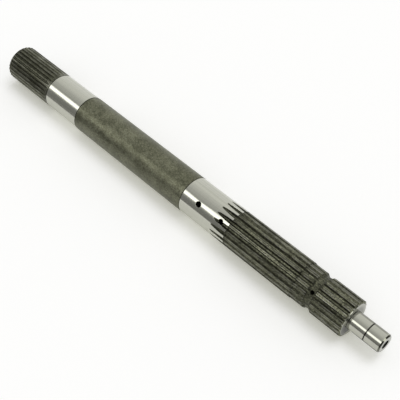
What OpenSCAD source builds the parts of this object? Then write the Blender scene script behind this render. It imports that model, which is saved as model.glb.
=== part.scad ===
// Transmission input shaft, lying on its side along X with its pilot end towards +X.
// One steel bar: rear spline, rear journal, plain shank, front journal, hub spline, pilot.

/* [Rear spline] */
// Outside diameter over the rear teeth
rear_spline_d = 34.9; // [32:0.1:34.9]
// Length from the rear face to the rear journal
rear_spline_len = 61.5; // [30:0.5:120]
// Number of rear teeth
rear_teeth = 28; // [20:1:40]
// Radius of the cutter that leaves the rear teeth's run-out
rear_cutter_r = 20; // [12:1:60]
// Plain ring between the run-outs and the rear journal, with the grinding relief in it
rear_plain_len = 1.5; // [0.5:0.1:6]
// Bevel at the rear face
rear_bevel = 1.5; // [0.5:0.1:2.5]
// Angle of one rear tooth gap, from straight up towards the front
rear_gap_angle = 36.6; // [0:0.1:360]

/* [Journals] */
// Diameter of the rear ground journal
rear_journal_d = 35; // [34.9:0.1:35.3]
// Length of the rear ground journal
rear_journal_len = 44; // [15:0.5:90]
// Diameter of the front ground journal
front_journal_d = 35.1; // [35:0.1:35.3]
// Ground length in front of the shank, with the lands between the first tooth gaps
front_journal_len = 55; // [35:0.5:120]
// Width of the grinding relief at both ends of each journal
relief_w = 0.8; // [0.6:0.1:1.5]
// Depth of the grinding relief at both ends of each journal
relief_depth = 0.25; // [0.2:0.05:0.6]

/* [Shank] */
// Diameter of the plain shank
shank_d = 35.4; // [35.2:0.1:40]
// Length of the plain shank
shank_len = 142; // [60:1:300]
// Bevel on both edges of the shank
shank_bevel = 0.3; // [0.1:0.05:0.6]

/* [Hub spline] */
// Outside diameter over the hub teeth
hub_spline_d = 35; // [34.2:0.1:35]
// Length of the full-height hub teeth past the ground lands
hub_spline_len = 73.5; // [30:0.5:150]
// Number of hub teeth
hub_teeth = 18; // [14:1:24]
// Radius of the cutter that leaves the hub teeth's run-out
hub_cutter_r = 80; // [40:1:120]
// How far the tooth gaps run back into the ground journal
hub_runout_back = 17.5; // [4:0.5:25]
// Outside diameter over the lowered teeth at the front
end_spline_d = 34.1; // [33:0.1:34.1]
// Length of the lowered teeth, up to the shoulder
end_spline_len = 51.5; // [35:0.5:100]
// Length of the bevel at the shoulder
shoulder_bevel_len = 1.2; // [0.5:0.1:3]
// Depth of the bevel at the shoulder
shoulder_bevel_depth = 2; // [0.5:0.1:4]
// Angle of one hub tooth gap, from straight up towards the front
hub_gap_angle = 46.3; // [0:0.1:360]

/* [Ring groove] */
// Distance of the groove's middle behind the shoulder
ring_back = 34.8; // [10:0.1:42]
// Width of the groove at the top of the teeth
ring_w = 7.8; // [5:0.1:10]
// Diameter at the floor of the groove
ring_floor_d = 30.5; // [29:0.1:31.5]

/* [Pilot] */
// Diameter of the pilot
pilot_d = 17; // [15:0.1:24]
// Length of the pilot in front of the shoulder
pilot_len = 31; // [20:0.5:60]
// Fillet where the pilot meets the shoulder
pilot_fillet = 0.6; // [0.5:0.1:2.5]
// Bevel at the front face
pilot_bevel = 1.2; // [0.4:0.1:1.4]
// Distance of the thin groove's middle in front of the shoulder
pilot_groove_from = 16; // [6:0.1:17]
// Width of the thin groove
pilot_groove_w = 1.1; // [0.6:0.1:2]
// Depth of the thin groove
pilot_groove_depth = 0.6; // [0.2:0.1:1]

/* [Oil ways] */
// Diameter of the gallery drilled from the front face
gallery_d = 8; // [5:0.1:8.5]
// Diameter of the centring cone at the front face
front_cone_d = 11.6; // [10:0.1:12]
// Length of the gallery past the hole in the front journal
gallery_past = 5; // [3:0.5:15]
// Angle of the line of oil holes, from straight up towards the front
oil_angle = 43.3; // [0:0.1:360]
// Distance of the journal's oil hole in front of the shank
journal_hole_from = 19.3; // [8:0.1:30]
// Diameter of the journal's oil hole
journal_hole_d = 5.2; // [3:0.1:7]
// Distance of the land's oil hole in front of the shank
land_hole_from = 45.8; // [40:0.1:52]
// Diameter of the land's oil hole
land_hole_d = 4.5; // [3:0.1:6]
// Diameter of the oil hole in the ring groove
ring_hole_d = 3.5; // [2:0.1:5]
// Bevel at the mouth of each oil hole
oil_mouth_bevel = 0.4; // [0.1:0.05:0.6]

/* [Rear centre hole] */
// Diameter of the centring cone at the rear face
rear_cone_d = 10.6; // [8:0.1:14]
// Diameter of the small drilling behind the cone
rear_drill_d = 4; // [2:0.1:6]
// Depth of the small drilling from the rear face
rear_drill_depth = 12; // [9:0.5:25]

/* [Hidden] */
$fn = 96;

// Tooth form of both splines
pressure_angle = 30;
root_gap = 1.35;
root_fillet_share = 0.25;
flank_steps = 4;

// Included angles of the drilled cones
centre_cone = 60;
drill_point = 118;

// Clocking of the turned bar about its axis
bar_clocking = -4.1;

// How far a cutting shape reaches past the surface it cuts
over = 1;

// Stations along the shaft, from the rear face
rear_journal_z = rear_spline_len;
shank_z = rear_journal_z + rear_journal_len;
front_journal_z = shank_z + shank_len;
hub_spline_z = front_journal_z + front_journal_len;
step_z = hub_spline_z + hub_spline_len;
shoulder_z = step_z + end_spline_len;
overall_len = shoulder_z + pilot_len;
ring_z = shoulder_z - ring_back;
pilot_groove_z = shoulder_z + pilot_groove_from;
gallery_z = front_journal_z + journal_hole_from - gallery_past;

// Height of the shaft's axis when it lies on its largest diameter
axis_height = max(shank_d, rear_journal_d, front_journal_d, hub_spline_d, rear_spline_d) / 2;

// Height of the step from the full teeth to the lowered ones
step_height = (hub_spline_d - end_spline_d) / 2;

function spline_module(outside_d, teeth) = outside_d / (teeth + 1);

function spline_root_r(outside_d, teeth) = spline_module(outside_d, teeth) * (teeth - root_gap) / 2;

// Involute function, in degrees
function involute(angle) = tan(angle) * 180 / PI - angle;

// Half of the angle that a tooth gap takes at a given radius
function half_gap(radius, outside_d, teeth) =
    let (pitch_r = spline_module(outside_d, teeth) * teeth / 2)
    let (flank_angle = acos(pitch_r * cos(pressure_angle) / radius))
    90 / teeth + involute(flank_angle) - involute(pressure_angle);

// Right half of a tooth gap as [radius, offset] points, from its floor up to a given radius
function gap_side(outside_d, teeth, top_r) =
    let (root_r = spline_root_r(outside_d, teeth))
    let (fillet = root_fillet_share * spline_module(outside_d, teeth))
    let (low_r = root_r + fillet)
    let (low_half = low_r * sin(half_gap(low_r, outside_d, teeth)))
    concat(
        [[root_r, low_half - fillet]],
        [for (step = [0 : flank_steps])
            let (radius = low_r + (top_r - low_r) * step / flank_steps)
            [radius, radius * sin(half_gap(radius, outside_d, teeth))]]
    );

// Whole outline of a tooth gap, as [radius, offset] points
function gap_outline(outside_d, teeth, top_r) =
    let (side = gap_side(outside_d, teeth, top_r))
    let (last = len(side) - 1)
    concat(side, [for (index = [last : -1 : 0]) [side[index][0], -side[index][1]]]);

// Length over which a cutter leaves a gap of a given depth
function runout_len(cutter_r, depth) = sqrt(cutter_r * cutter_r - pow(cutter_r - depth, 2));

// One tooth gap at full depth from full_z up to end_z, with the cutter's run-out below full_z
module tooth_gap(outside_d, teeth, top_r, cutter_r, full_z, end_z) {
    root_r = spline_root_r(outside_d, teeth);
    outline = gap_outline(outside_d, teeth, top_r);
    axis_r = root_r + cutter_r;
    sweep = acos(1 - (top_r - root_r) / cutter_r);
    translate([0, 0, full_z])
        linear_extrude(height = end_z - full_z) polygon(outline);
    translate([axis_r, 0, full_z])
        rotate([-90, 0, 0])
            rotate_extrude(angle = sweep, start = 180 - sweep)
                polygon([for (point = outline) [axis_r - point[0], point[1]]]);
}

// Gaps between the hub teeth, from their run-outs in the ground journal to the shoulder
module hub_gaps() {
    top_r = front_journal_d / 2 + over;
    depth = front_journal_d / 2 - spline_root_r(hub_spline_d, hub_teeth);
    full_z = hub_spline_z - hub_runout_back + runout_len(hub_cutter_r, depth);
    for (index = [0 : hub_teeth - 1])
        rotate([0, 0, hub_gap_angle + index * 360 / hub_teeth])
            tooth_gap(hub_spline_d, hub_teeth, top_r, hub_cutter_r, full_z, shoulder_z + over);
}

// Gaps between the rear teeth, open at the rear face
module rear_gaps() {
    top_r = rear_spline_d / 2 + over;
    depth = rear_spline_d / 2 - spline_root_r(rear_spline_d, rear_teeth);
    full_z = rear_journal_z - rear_plain_len - runout_len(rear_cutter_r, depth);
    for (index = [0 : rear_teeth - 1])
        rotate([0, 0, rear_gap_angle + index * 360 / rear_teeth])
            mirror([0, 0, 1])
                tooth_gap(rear_spline_d, rear_teeth, top_r, rear_cutter_r, -full_z, over);
}

// Turned outline as [radius, station] points
function turned_outline() =
    let (rear_spline_r = rear_spline_d / 2, rear_journal_r = rear_journal_d / 2)
    let (shank_r = shank_d / 2, front_journal_r = front_journal_d / 2)
    let (hub_spline_r = hub_spline_d / 2, end_spline_r = end_spline_d / 2, pilot_r = pilot_d / 2)
    [
        [0, 0],
        [rear_spline_r - rear_bevel, 0],
        [rear_spline_r, rear_bevel],
        [rear_spline_r, rear_journal_z - relief_w],
        [rear_journal_r - relief_depth, rear_journal_z - relief_w],
        [rear_journal_r - relief_depth, rear_journal_z],
        [rear_journal_r, rear_journal_z],
        [rear_journal_r, shank_z - relief_w],
        [rear_journal_r - relief_depth, shank_z - relief_w],
        [rear_journal_r - relief_depth, shank_z],
        [shank_r - shank_bevel, shank_z],
        [shank_r, shank_z + shank_bevel],
        [shank_r, front_journal_z - shank_bevel],
        [shank_r - shank_bevel, front_journal_z],
        [front_journal_r - relief_depth, front_journal_z],
        [front_journal_r - relief_depth, front_journal_z + relief_w],
        [front_journal_r, front_journal_z + relief_w],
        [front_journal_r, hub_spline_z - relief_w],
        [front_journal_r - relief_depth, hub_spline_z - relief_w],
        [front_journal_r - relief_depth, hub_spline_z],
        [hub_spline_r, hub_spline_z],
        [hub_spline_r, step_z - step_height],
        [end_spline_r, step_z],
        [end_spline_r, shoulder_z - shoulder_bevel_len],
        [end_spline_r - shoulder_bevel_depth, shoulder_z],
        [pilot_r, shoulder_z],
        [pilot_r, pilot_groove_z - pilot_groove_w / 2],
        [pilot_r - pilot_groove_depth, pilot_groove_z - pilot_groove_w / 2],
        [pilot_r - pilot_groove_depth, pilot_groove_z + pilot_groove_w / 2],
        [pilot_r, pilot_groove_z + pilot_groove_w / 2],
        [pilot_r, overall_len - pilot_bevel],
        [pilot_r - pilot_bevel, overall_len],
        [0, overall_len]
    ];

// Concave fillet at the foot of the pilot
module pilot_root() {
    translate([0, 0, shoulder_z])
        rotate_extrude()
            difference() {
                translate([pilot_d / 2 - pilot_fillet, -pilot_fillet])
                    square(2 * pilot_fillet);
                translate([pilot_d / 2 + pilot_fillet, pilot_fillet])
                    circle(pilot_fillet);
            }
}

// Ring groove through the lowered teeth, with a round floor
module ring_groove() {
    depth = (end_spline_d - ring_floor_d) / 2;
    arc_r = (ring_w * ring_w / 4 + depth * depth) / (2 * depth);
    translate([0, 0, ring_z])
        rotate_extrude()
            translate([ring_floor_d / 2 + arc_r, 0])
                circle(arc_r);
}

// Cone that opens upwards to a given diameter at height zero
module centre_cone(mouth_d, angle) {
    depth = mouth_d / 2 / tan(angle / 2);
    translate([0, 0, -depth])
        cylinder(d1 = 0, d2 = mouth_d, h = depth);
}

// Gallery along the axis, with its drill point and the centring cone at the front face
module gallery() {
    point_len = gallery_d / 2 / tan(drill_point / 2);
    translate([0, 0, gallery_z])
        cylinder(d = gallery_d, h = overall_len - gallery_z + over);
    translate([0, 0, gallery_z - point_len])
        cylinder(d1 = 0, d2 = gallery_d, h = point_len);
    translate([0, 0, overall_len])
        centre_cone(front_cone_d, centre_cone);
}

// Centre hole in the rear face
module rear_centre() {
    mirror([0, 0, 1])
        centre_cone(rear_cone_d, centre_cone);
    translate([0, 0, -over])
        cylinder(d = rear_drill_d, h = rear_drill_depth + over);
}

// Radial hole from the gallery out through a surface of a given radius, with a bevelled mouth
module oil_hole(hole_d, station, surface_r) {
    mouth_d = hole_d + 2 * oil_mouth_bevel;
    rotate([0, 0, oil_angle])
        translate([0, 0, station])
            rotate([0, 90, 0]) {
                cylinder(d = hole_d, h = surface_r + 2 * over);
                translate([0, 0, surface_r - oil_mouth_bevel])
                    cylinder(d1 = hole_d, d2 = mouth_d + 2 * over, h = oil_mouth_bevel + over);
            }
}

module oil_holes() {
    oil_hole(journal_hole_d, front_journal_z + journal_hole_from, front_journal_d / 2);
    oil_hole(land_hole_d, front_journal_z + land_hole_from, front_journal_d / 2);
    oil_hole(ring_hole_d, ring_z, ring_floor_d / 2);
}

// Turned bar with the hub teeth cut
module hub_toothed_bar() {
    difference() {
        rotate([0, 0, bar_clocking])
            rotate_extrude() polygon(turned_outline());
        hub_gaps();
    }
}

// Turned bar with both splines cut
module toothed_bar() {
    difference() {
        hub_toothed_bar();
        rear_gaps();
    }
}

// Shaft standing on its rear face
module standing_shaft() {
    difference() {
        union() {
            toothed_bar();
            pilot_root();
        }
        ring_groove();
        gallery();
        rear_centre();
        oil_holes();
    }
}

// Shaft on its side, with angles about its axis counted from straight up towards the front
module input_shaft() {
    color([0.38, 0.38, 0.33])
        translate([-overall_len / 2, 0, axis_height])
            rotate([0, 90, 0])
                rotate([0, 0, 180])
                    standing_shaft();
}

input_shaft();
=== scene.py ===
import math

import bpy
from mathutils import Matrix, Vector

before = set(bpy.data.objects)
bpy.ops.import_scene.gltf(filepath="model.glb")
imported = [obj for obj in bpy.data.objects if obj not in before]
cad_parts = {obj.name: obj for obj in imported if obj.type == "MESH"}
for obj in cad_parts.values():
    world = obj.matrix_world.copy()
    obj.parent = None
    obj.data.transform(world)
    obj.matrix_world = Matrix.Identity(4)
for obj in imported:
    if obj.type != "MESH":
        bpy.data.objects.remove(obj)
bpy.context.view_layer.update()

# Stations along the shaft, in millimetres from the row frame's origin
REAR_TEETH_END = -168.6
REAR_JOURNAL = (-167.75, -124.55)
FRONT_JOURNAL = (19.05, 72.45)
SHANK = (REAR_JOURNAL[1], FRONT_JOURNAL[0])
HUB_TEETH_START = 73.3
RUN_OUT_FADE = (FRONT_JOURNAL[1] - 4.0, FRONT_JOURNAL[1] + 6.0)
HUB_STEP = 146.75
STEP_RING = (HUB_STEP - 0.4, HUB_STEP + 0.8)
RING_GROOVE = (159.5, 167.4)
DULL_TEETH = (HUB_STEP, RING_GROOVE[1])
SHOULDER_START = 197.05
HUB_COAT = (FRONT_JOURNAL[0] + 5.0, SHOULDER_START)
PILOT_GROUND = (198.8, 228.05)
PILOT_GROOVE = (213.6, 214.9)
PILOT_END = PILOT_GROUND[1] + 0.05
RELIEFS = ((REAR_TEETH_END, -167.7), (-124.6, -123.7), (18.2, 19.1), (72.4, HUB_TEETH_START))

# Height of the axis over the floor, and radii about it, in millimetres
AXIS_HEIGHT = 17.7
HUB_ROOT = 15.42
HUB_TIP = 17.28
LOWERED_TIP = 16.83
HUB_GAP_DEPTH = (15.5, 17.0)
REAR_TIP = 17.2
REAR_GAP_DEPTH = (16.1, 17.3)
JOURNAL_FLOOR = 17.38
# Radii over which the painted shade round the pilot's root fades out
ROOT_PAINTED_SHADE_RADII = (10.5, 14.5)
PILOT_FLOOR = 8.3
FACE_RADIUS = 7.32
BORE_RADIUS = 4.05

# Tooth gaps in degrees: middle of one gap from straight up towards -Y, pitch, half width and worn edge,
# which is also a painted glint
HUB_GAP = 46.3
HUB_PITCH = 20.0
HUB_HALF_GAP = 6.97
HUB_WORN_AND_GLINT_EDGE = 0.9
REAR_GAP = 36.6
REAR_PITCH = 360.0 / 28.0
REAR_HALF_GAP = 4.44
REAR_WORN_AND_GLINT_EDGE = 0.7
WORN_AND_GLINT_BLUR = 0.6

# Colours of the steel
COAT_DARK = (0.100, 0.102, 0.066, 1.0)
COAT_LIGHT = (0.172, 0.175, 0.119, 1.0)
# Worn steel on the tooth edges, which also serves as a painted glint
WORN_AND_GLINT = (0.42, 0.415, 0.37, 1.0)
GROUND_DARK = (0.465, 0.468, 0.405, 1.0)
GROUND_LIGHT = (0.545, 0.548, 0.478, 1.0)
PILOT_STEEL = (0.465, 0.467, 0.405, 1.0)
TURNED_DARK = (0.32, 0.322, 0.28, 1.0)
TURNED_LIGHT = (0.39, 0.392, 0.34, 1.0)
# Painted shade on the shoulder's face round the pilot's root
ROOT_PAINTED_SHADE = (0.075, 0.076, 0.06, 1.0)
END_FACE = (0.34, 0.342, 0.30, 1.0)
END_BEVEL = (0.13, 0.132, 0.105, 1.0)
# Painted shade in the pilot's groove and in the bore
GROOVE_AND_BORE_PAINTED_SHADE = (0.03, 0.03, 0.025, 1.0)

# Factors on the coat's colour; the flank, ring, step, run-out, rear gap and relief factors are painted
# shade
CRYSTAL_SHADE = (0.66, 1.30)
HUB_GAP_SHADE = (0.94, 0.80)
# Painted shade on the tooth flanks
FLANK_PAINTED_SHADE = 0.58
DULL_FLANK_PAINTED_SHADE = 0.80
DULL_SHADE = 0.84
# Painted shade in the ring groove
RING_GROOVE_PAINTED_SHADE = 0.78
# Painted shade on the chamfered step
STEP_PAINTED_SHADE = 0.5
CUTTER_MARK_SHADE = (0.62, 1.30)
SPECKLE_SHADE = (0.66, 1.34)
# Painted shade towards the run-out of the hub's teeth by the front journal
RUN_OUT_PAINTED_SHADE = (0.55, 1.0)
# Rear spline's coat darker overall, with painted shade deeper in its gaps
REAR_COAT_AND_PAINTED_GAP_SHADE = (0.44, 0.62)
# Painted shade in the grinding reliefs
RELIEF_PAINTED_SHADE = 0.3

# Shares, roughness and height of the finishes
WEAR_AND_GLINT_SHARE = 0.35
ROOT_PAINTED_SHADE_SHARE = 0.75
COAT_METALLIC = 0.88
COAT_ROUGHNESS = (0.30, 0.44)
SHANK_ROUGHER = 0.06
DULL_ROUGHNESS = 0.48
WORN_AND_GLINT_ROUGHNESS = 0.36
TURNED_ROUGHNESS = (0.09, 0.13)
GROUND_ROUGHNESS = (0.10, 0.15)
CRYSTAL_HEIGHT = 0.010
MOTTLE_HEIGHT = 0.02
LINE_HEIGHT = 0.0006

# Stage and light
FLOOR_REACH = 20.0
FLOOR_COLOUR = (0.90, 0.90, 0.97, 1.0)
FLOOR_LIFT = 0.30
FLOOR_LIFT_COLOUR = (1.0, 1.0, 0.79, 1.0)
CARD_COLOUR = (1.0, 1.0, 0.985, 1.0)
SUN_PLACE = (0.3, 0.5, 1.9)
SUN_TOWARDS = (-0.15, -0.25, -0.955)
SUN_ENERGY = 0.78
SUN_ANGLE = math.radians(35.0)
WORLD_COLOUR = (1.0, 1.0, 1.0, 1.0)
SOFT_WORLD = 0.53
SEEN_WORLD = 0.97

# Cards that show only in polished surfaces: name, brightness, fade and corners in metres.
# A fade gives its axis, the limits that it runs between and the brightness at its end.
CARDS = (
    (
        "front_flag", 0.28, ("Z", (0.12, 0.62), 0.50),
        [(-2.6, -1.06, 0.72), (2.2, -1.06, 0.72), (2.2, -0.25, 0.004), (-2.6, -0.25, 0.004)],
    ),
    (
        "near_flag", 0.31, None,
        [(-0.45, -0.26, 0.003), (0.0, -0.26, 0.003), (-0.16, -0.07, 0.003), (-0.45, -0.07, 0.003)],
    ),
    (
        "end_flag", 0.22, None,
        [(0.26, -0.20, 0.003), (0.26, 0.20, 0.003), (0.40, 0.25, 0.20), (0.40, -0.25, 0.20)],
    ),
    (
        "pilot_flag", 0.10, None,
        [(0.222, -0.062, 0.096), (0.26, -0.062, 0.096), (0.26, -0.095, 0.048), (0.222, -0.095, 0.048)],
    ),
    # a dark sheet on the floor under the pilot: painted shadow, seen only in polished surfaces
    (
        "painted_shadow_under_pilot", 0.40, None,
        [(0.20, -0.012, 0.002), (0.226, -0.012, 0.002), (0.226, 0.012, 0.002), (0.20, 0.012, 0.002)],
    ),
    (
        "back_flag_low", 0.55, None,
        [(0.183, 0.036, 0.002), (0.219, 0.036, 0.002), (0.203, 0.10, 0.002), (0.165, 0.10, 0.002)],
    ),
    (
        "back_flag_high", 0.55, None,
        [(0.165, 0.10, 0.002), (0.203, 0.10, 0.002), (0.203, 0.11, 0.05), (0.165, 0.11, 0.05)],
    ),
    (
        "end_card", 4.2, None,
        [(0.27, -0.001, 0.02), (0.27, 0.021, 0.02), (0.27, 0.021, 0.043), (0.27, -0.001, 0.043)],
    ),
    (
        "strip_card", 2.3, None,
        [(-2.0, -1.03, 0.74), (1.2, -1.03, 0.74), (1.2, -0.72, 1.04), (-2.0, -0.72, 1.04)],
    ),
    (
        "ceiling_card", 0.52, ("Y", (-1.07, 1.3), 0.94),
        [(-2.4, -1.07, 1.8), (2.4, -1.07, 1.8), (2.4, 2.6, 1.8), (-2.4, 2.6, 1.8)],
    ),
)

# Camera
CAMERA_PLACE = (0.385, -0.3454, 0.5871)
CAMERA_AZIMUTH = math.radians(45.94)
CAMERA_ELEVATION = math.radians(48.94)
CAMERA_LENS = 78.45
CAMERA_SENSOR = 36.0
CAMERA_SHIFT_X = -0.0018
CAMERA_SHIFT_Y = 0.0033


class Nodes:
    """Short forms for building a material's nodes."""

    def __init__(self, tree):
        self.tree = tree

    def add(self, kind, inputs=None, **settings):
        node = self.tree.nodes.new(kind)
        for name, value in settings.items():
            setattr(node, name, value)
        for name, value in (inputs or {}).items():
            self.feed(node.inputs[name], value)
        return node

    def feed(self, socket, value):
        if isinstance(value, bpy.types.NodeSocket):
            self.tree.links.new(value, socket)
        elif value is not None:
            socket.default_value = value

    def math(self, operation, first, second=None):
        node = self.add("ShaderNodeMath", operation=operation)
        self.feed(node.inputs[0], first)
        self.feed(node.inputs[1], second)
        return node.outputs[0]

    def times(self, first, *others):
        for other in others:
            first = self.math("MULTIPLY", first, other)
        return first

    def largest(self, first, *others):
        for other in others:
            first = self.math("MAXIMUM", first, other)
        return first

    def vector(self, operation, first, second):
        node = self.add("ShaderNodeVectorMath", operation=operation)
        self.feed(node.inputs[0], first)
        self.feed(node.inputs[1], second)
        return node.outputs[0]

    def change(self, value, limits, ends=(0.0, 1.0)):
        """The first end below the limits, the second end above them, and a smooth step between."""
        low, high = limits
        start, end = ends
        inputs = {"Value": value, "From Min": low, "From Max": high, "To Min": start, "To Max": end}
        return self.add("ShaderNodeMapRange", inputs, interpolation_type="SMOOTHSTEP").outputs["Result"]

    def above(self, value, limit, soft):
        return self.change(value, (limit - soft, limit + soft))

    def below(self, value, limit, soft):
        return self.change(value, (limit - soft, limit + soft), (1.0, 0.0))

    def inside(self, value, limits, soft):
        low, high = limits
        return self.times(self.above(value, low, soft), self.below(value, high, soft))

    def noise(self, vector, scale, detail, roughness=0.5):
        inputs = {"Vector": vector, "Scale": scale, "Detail": detail, "Roughness": roughness}
        return self.add("ShaderNodeTexNoise", inputs).outputs["Fac"]

    def mix(self, kind, factor, first, second, **settings):
        """first where factor is 0 and second where it is 1, as numbers or colours."""
        node = self.add("ShaderNodeMix", data_type="RGBA" if kind == "RGBA" else "FLOAT", **settings)

        def socket(sockets, name, wanted):
            return next(s for s in sockets if s.name == name and s.type == wanted)

        self.feed(socket(node.inputs, "Factor", "VALUE"), factor)
        self.feed(socket(node.inputs, "A", kind), first)
        self.feed(socket(node.inputs, "B", kind), second)
        return socket(node.outputs, "Result", kind)

    def colour(self, factor, first, second, blend="MIX"):
        return self.mix("RGBA", factor, first, second, blend_type=blend)

    def number(self, factor, first, second):
        return self.mix("VALUE", factor, first, second)

    def shade(self, colour, amount):
        """A colour times one number."""
        grey = self.add("ShaderNodeCombineColor", {"Red": amount, "Green": amount, "Blue": amount})
        return self.colour(1.0, colour, grey.outputs[0], "MULTIPLY")


class Place:
    """Where a point of the bar lies about its axis, in millimetres and degrees, and how it slopes."""

    def __init__(self, n):
        coordinates = n.add("ShaderNodeTexCoord").outputs
        scaled = n.vector("MULTIPLY", coordinates["Object"], (1000.0, 1000.0, 1000.0))
        self.point = n.vector("SUBTRACT", scaled, (0.0, 0.0, AXIS_HEIGHT))
        parts = n.add("ShaderNodeSeparateXYZ", {"Vector": self.point}).outputs
        self.along = parts["X"]
        across = parts["Y"]
        up = parts["Z"]
        self.radius = n.math("SQRT", n.math("ADD", n.times(across, across), n.times(up, up)))
        self.angle = n.math("DEGREES", n.math("ARCTAN2", n.times(across, -1.0), up))
        slope = n.add("ShaderNodeSeparateXYZ", {"Vector": coordinates["Normal"]}).outputs
        outward_across = n.times(slope["Y"], n.math("DIVIDE", across, self.radius))
        outward_up = n.times(slope["Z"], n.math("DIVIDE", up, self.radius))
        self.outward = n.math("ADD", outward_across, outward_up)


def new_material(name):
    material = bpy.data.materials.new(name)
    material.use_nodes = True
    material.node_tree.nodes.clear()
    return material, Nodes(material.node_tree)


def edge_wear_and_glint(n, at, gap, pitch, half_gap, width, tip):
    """Worn band along both edges of each tooth in a row, near the tips, lighter also as a painted glint.
    """
    shifted = n.math("SUBTRACT", at.angle, gap - pitch / 2.0)
    within = n.math("FLOORED_MODULO", shifted, pitch)
    from_gap = n.math("ABSOLUTE", n.math("SUBTRACT", within, pitch / 2.0))
    near = n.below(from_gap, half_gap + width, soft=width * WORN_AND_GLINT_BLUR)
    return n.times(near, n.above(n.math("SUBTRACT", at.radius, tip), 0.0, soft=0.12))


def tooth_wear_and_glint(n, at):
    """Patchy worn tooth edges on both splines, lighter also as a painted glint."""
    hub_tip = n.number(n.above(at.along, HUB_STEP, soft=0.2), HUB_TIP, LOWERED_TIP)
    hub = edge_wear_and_glint(n, at, HUB_GAP, HUB_PITCH, HUB_HALF_GAP, HUB_WORN_AND_GLINT_EDGE, hub_tip)
    hub = n.times(hub, n.above(at.along, HUB_TEETH_START, soft=0.1))
    rear = edge_wear_and_glint(n, at, REAR_GAP, REAR_PITCH, REAR_HALF_GAP, REAR_WORN_AND_GLINT_EDGE, REAR_TIP)
    rear = n.times(rear, n.below(at.along, REAR_TEETH_END, soft=0.1))
    patches = n.change(n.noise(at.point, scale=0.12, detail=3.0), (0.36, 0.62))
    return n.times(n.largest(hub, rear), patches, WEAR_AND_GLINT_SHARE)


def hub_tone_and_painted_shade(n, at, dull):
    """Tone of the hub's coat by gap depth, dull teeth, cutter marks and speckle, with painted shade on the
    flanks, in the ring groove, on the step and towards the run-outs.
    """
    gaps = n.change(at.radius, HUB_GAP_DEPTH, HUB_GAP_SHADE)
    # painted shade on the hub's tooth flanks
    flanks = n.change(at.outward, (0.55, 0.92), (n.number(dull, FLANK_PAINTED_SHADE, DULL_FLANK_PAINTED_SHADE), 1.0))
    dull_teeth = n.number(dull, 1.0, DULL_SHADE)
    # painted shade in the ring groove
    ring = n.number(n.inside(at.along, RING_GROOVE, soft=0.3), 1.0, RING_GROOVE_PAINTED_SHADE)
    # painted shade on the chamfered step
    step = n.number(n.inside(at.along, STEP_RING, soft=0.2), 1.0, STEP_PAINTED_SHADE)
    drawn_out = n.vector("MULTIPLY", at.point, (0.02, 1.0, 1.0))
    marks = n.noise(drawn_out, scale=1.3, detail=2.0, roughness=0.6)
    cutter_marks = n.change(marks, (0.38, 0.62), CUTTER_MARK_SHADE)
    speckle = n.change(n.noise(at.point, scale=0.8, detail=2.0), (0.38, 0.62), SPECKLE_SHADE)
    # painted shade in the gaps towards their run-out
    run_outs = n.change(at.along, RUN_OUT_FADE, RUN_OUT_PAINTED_SHADE)
    return n.times(gaps, flanks, dull_teeth, ring, step, cutter_marks, speckle, run_outs)


def coat_tone_and_painted_shade(n, at, dull):
    """Tone of the coat on both splines, with painted shade in the rear spline's gaps, on the hub's flanks,
    step, ring groove and run-outs, and in the grinding reliefs.
    """
    on_hub = n.inside(at.along, HUB_COAT, soft=0.1)
    on_rear = n.below(at.along, REAR_JOURNAL[0], soft=0.1)
    shade = n.number(on_hub, 1.0, hub_tone_and_painted_shade(n, at, dull))
    # rear spline: darker coat, with painted shade deeper in its gaps
    shade = n.number(on_rear, shade, n.change(at.radius, REAR_GAP_DEPTH, REAR_COAT_AND_PAINTED_GAP_SHADE))
    reliefs = n.largest(*(n.inside(at.along, station, soft=0.05) for station in RELIEFS))
    sunk = n.times(reliefs, n.below(at.radius, JOURNAL_FLOOR, soft=0.03))
    # painted shade in the grinding reliefs
    return n.number(sunk, shade, RELIEF_PAINTED_SHADE)


def phosphate(n, at):
    """Cloudy olive grey coat with fine crystals, with painted shade on flanks, grooves and gaps: its
    colour, roughness and height.
    """
    clouds = n.noise(at.point, scale=0.09, detail=3.0, roughness=0.55)
    mottle = n.noise(at.point, scale=0.42, detail=3.0, roughness=0.6)
    crystals = n.noise(at.point, scale=1.1, detail=4.0, roughness=0.7)
    on_shank = n.inside(at.along, SHANK, soft=0.1)
    dull = n.inside(at.along, DULL_TEETH, soft=0.3)
    tone = n.math("ADD", n.times(clouds, 0.5), n.times(mottle, 0.5))
    colour = n.colour(n.change(tone, (0.38, 0.62)), COAT_DARK, COAT_LIGHT)
    colour = n.shade(colour, n.change(crystals, (0.40, 0.60), CRYSTAL_SHADE))
    # the coat's tone and marks, with painted shade on flanks, step, grooves, run-outs, rear gaps and
    # reliefs
    colour = n.shade(colour, coat_tone_and_painted_shade(n, at, dull))
    rough = n.change(mottle, (0.3, 0.7), COAT_ROUGHNESS)
    rough = n.math("ADD", rough, n.times(on_shank, SHANK_ROUGHER))
    rough = n.number(dull, rough, DULL_ROUGHNESS)
    height = n.math("ADD", n.times(crystals, CRYSTAL_HEIGHT), n.times(mottle, MOTTLE_HEIGHT))
    return colour, rough, height


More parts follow.
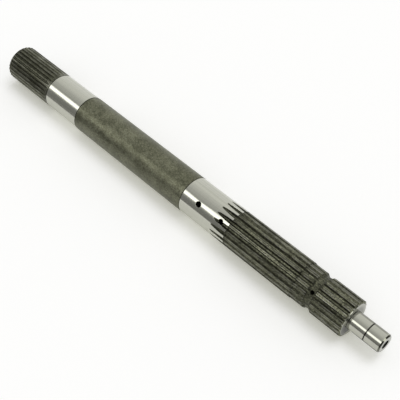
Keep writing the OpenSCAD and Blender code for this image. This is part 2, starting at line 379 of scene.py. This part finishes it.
def turned_steel(n, at):
    """The shoulder's face, the pilot's groove and its end: colour, with painted shade round the pilot's
    root, in the groove and in the bore, and roughness.
    """
    cut_lines = n.noise(at.point, scale=3.0, detail=2.0)
    colour = n.colour(cut_lines, TURNED_DARK, TURNED_LIGHT)
    # painted shade darkens the shoulder's face towards the pilot's root
    colour = n.colour(n.change(at.radius, ROOT_PAINTED_SHADE_RADII, (ROOT_PAINTED_SHADE_SHARE, 0.0)), colour, ROOT_PAINTED_SHADE)
    on_end = n.above(at.along, PILOT_END, soft=0.04)
    on_bevel = n.times(on_end, n.above(at.radius, FACE_RADIUS, soft=0.03))
    colour = n.colour(on_end, colour, END_FACE)
    colour = n.colour(on_bevel, colour, END_BEVEL)
    # painted shade in the pilot's groove and in the bore
    below_pilot = n.below(at.radius, PILOT_FLOOR, soft=0.05)
    in_groove = n.times(n.inside(at.along, PILOT_GROOVE, soft=0.05), below_pilot)
    painted_groove_and_bore_shade = n.largest(in_groove, n.below(at.radius, BORE_RADIUS, soft=0.02))
    colour = n.colour(painted_groove_and_bore_shade, colour, GROOVE_AND_BORE_PAINTED_SHADE)
    return colour, n.change(cut_lines, (0.3, 0.7), TURNED_ROUGHNESS)


def ground_steel(n, at, on_pilot):
    """Bright steel with fine lines round the bar and streaks along it: colour, roughness and height."""
    round_the_bar = n.vector("MULTIPLY", at.point, (1.0, 0.02, 0.02))
    along_the_bar = n.vector("MULTIPLY", at.point, (0.006, 1.0, 1.0))
    lines = n.noise(round_the_bar, scale=5.5, detail=3.0, roughness=0.65)
    streaks = n.noise(along_the_bar, scale=0.5, detail=3.0, roughness=0.55)
    tone = n.math("ADD", n.times(lines, 0.45), n.times(streaks, 0.55))
    colour = n.colour(n.change(tone, (0.36, 0.64)), GROUND_DARK, GROUND_LIGHT)
    colour = n.colour(on_pilot, colour, PILOT_STEEL)
    rough = n.change(tone, (0.36, 0.64), GROUND_ROUGHNESS)
    return colour, rough, n.times(lines, LINE_HEIGHT)


def shaft_steel():
    """One bar of steel: dark phosphate all over, turned at its front end, ground on journals and pilot."""
    material, n = new_material("shaft_steel")
    at = Place(n)
    front = n.inside(at.along, FRONT_JOURNAL, soft=0.08)
    rear = n.inside(at.along, REAR_JOURNAL, soft=0.08)
    on_journal = n.times(n.largest(front, rear), n.above(at.radius, JOURNAL_FLOOR, soft=0.03))
    pilot = n.inside(at.along, PILOT_GROUND, soft=0.08)
    on_pilot = n.times(pilot, n.above(at.radius, PILOT_FLOOR, soft=0.05))
    ground = n.largest(on_journal, on_pilot)
    front_end = n.above(at.along, SHOULDER_START, soft=0.08)
    turned = n.times(front_end, n.below(at.radius, HUB_ROOT, soft=0.05))
    machined = n.largest(ground, turned)
    # worn tooth edges, made lighter also as a painted glint
    wear_and_glint = tooth_wear_and_glint(n, at)

    coat_colour, coat_rough, coat_height = phosphate(n, at)
    turned_colour, turned_rough = turned_steel(n, at)
    ground_colour, ground_rough, ground_height = ground_steel(n, at, on_pilot)
    colour = n.colour(wear_and_glint, coat_colour, WORN_AND_GLINT)
    colour = n.colour(turned, colour, turned_colour)
    colour = n.colour(ground, colour, ground_colour)
    rough = n.number(wear_and_glint, coat_rough, WORN_AND_GLINT_ROUGHNESS)
    rough = n.number(turned, rough, turned_rough)
    rough = n.number(ground, rough, ground_rough)
    metal = n.largest(machined, COAT_METALLIC)
    height = n.number(machined, coat_height, ground_height)
    bump = n.add("ShaderNodeBump", {"Strength": 1.0, "Distance": 0.001, "Height": height})
    shader = n.add(
        "ShaderNodeBsdfPrincipled",
        {"Base Color": colour, "Metallic": metal, "Roughness": rough, "Normal": bump.outputs["Normal"]},
    )
    n.add("ShaderNodeOutputMaterial", {"Surface": shader.outputs[0]})
    return material


def seen_directly(n):
    """1 for rays from the camera and for those that metal or glass sends on, and 0 for soft light."""
    path = n.add("ShaderNodeLightPath").outputs
    return n.largest(path["Is Camera Ray"], path["Is Glossy Ray"], path["Is Transmission Ray"])


def floor_material():
    material, n = new_material("pale_floor")
    matt = n.add("ShaderNodeBsdfDiffuse", {"Color": FLOOR_COLOUR})
    lift = n.times(seen_directly(n), FLOOR_LIFT)
    glow = n.add("ShaderNodeEmission", {"Color": FLOOR_LIFT_COLOUR, "Strength": lift})
    both = n.add("ShaderNodeAddShader")
    n.feed(both.inputs[0], matt.outputs[0])
    n.feed(both.inputs[1], glow.outputs[0])
    n.add("ShaderNodeOutputMaterial", {"Surface": both.outputs[0]})
    return material


def card_material(name, brightness, fade):
    """A card of even brightness, or one that fades to another brightness along an axis."""
    material, n = new_material(name)
    strength = brightness
    if fade:
        axis, limits, end = fade
        place = n.add("ShaderNodeTexCoord").outputs["Object"]
        parts = n.add("ShaderNodeSeparateXYZ", {"Vector": place}).outputs
        strength = n.change(parts[axis], limits, (brightness, end))
    shader = n.add("ShaderNodeEmission", {"Color": CARD_COLOUR, "Strength": strength})
    n.add("ShaderNodeOutputMaterial", {"Surface": shader.outputs[0]})
    return material


def add_object(name, data):
    item = bpy.data.objects.new(name, data)
    bpy.context.scene.collection.objects.link(item)
    return item


def aim(item, towards):
    item.rotation_euler = Vector(towards).to_track_quat("-Z", "Y").to_euler()


def sheet(name, corners, material):
    """A flat four-cornered stage sheet."""
    mesh = bpy.data.meshes.new(name)
    mesh.from_pydata(corners, [], [(0, 1, 2, 3)])
    mesh.materials.append(material)
    item = add_object(name, mesh)
    return item


def make_stage():
    low, high = -FLOOR_REACH, FLOOR_REACH
    floor_corners = [(low, low, 0.0), (high, low, 0.0), (high, high, 0.0), (low, high, 0.0)]
    sheet("floor", floor_corners, floor_material())
    for name, brightness, fade, corners in CARDS:
        card = sheet(name, corners, card_material(name, brightness, fade))
        card.visible_camera = False
        card.visible_diffuse = False
        card.visible_shadow = False
        card.visible_transmission = False


def make_sun():
    data = bpy.data.lights.new("key", "SUN")
    data.energy = SUN_ENERGY
    data.angle = SUN_ANGLE
    sun = add_object("key", data)
    sun.location = SUN_PLACE
    aim(sun, SUN_TOWARDS)
    sun.visible_camera = False


def make_world():
    world = bpy.data.worlds.new("studio")
    bpy.context.scene.world = world
    world.use_nodes = True
    world.node_tree.nodes.clear()
    n = Nodes(world.node_tree)
    strength = n.number(seen_directly(n), SOFT_WORLD, SEEN_WORLD)
    shader = n.add("ShaderNodeBackground", {"Color": WORLD_COLOUR, "Strength": strength})
    n.add("ShaderNodeOutputWorld", {"Surface": shader.outputs[0]})


def make_camera():
    data = bpy.data.cameras.new("camera")
    data.lens = CAMERA_LENS
    data.sensor_width = CAMERA_SENSOR
    data.shift_x = CAMERA_SHIFT_X
    data.shift_y = CAMERA_SHIFT_Y
    camera = add_object("camera", data)
    camera.location = CAMERA_PLACE
    flat = math.cos(CAMERA_ELEVATION)
    sideways = -math.sin(CAMERA_AZIMUTH) * flat
    forward = math.cos(CAMERA_AZIMUTH) * flat
    aim(camera, (sideways, forward, -math.sin(CAMERA_ELEVATION)))
    bpy.context.scene.camera = camera


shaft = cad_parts["input_shaft"]
shaft.data.materials.clear()
shaft.data.materials.append(shaft_steel())

make_stage()
make_sun()
make_world()
make_camera()
bpy.context.scene.view_settings.view_transform = "Standard"
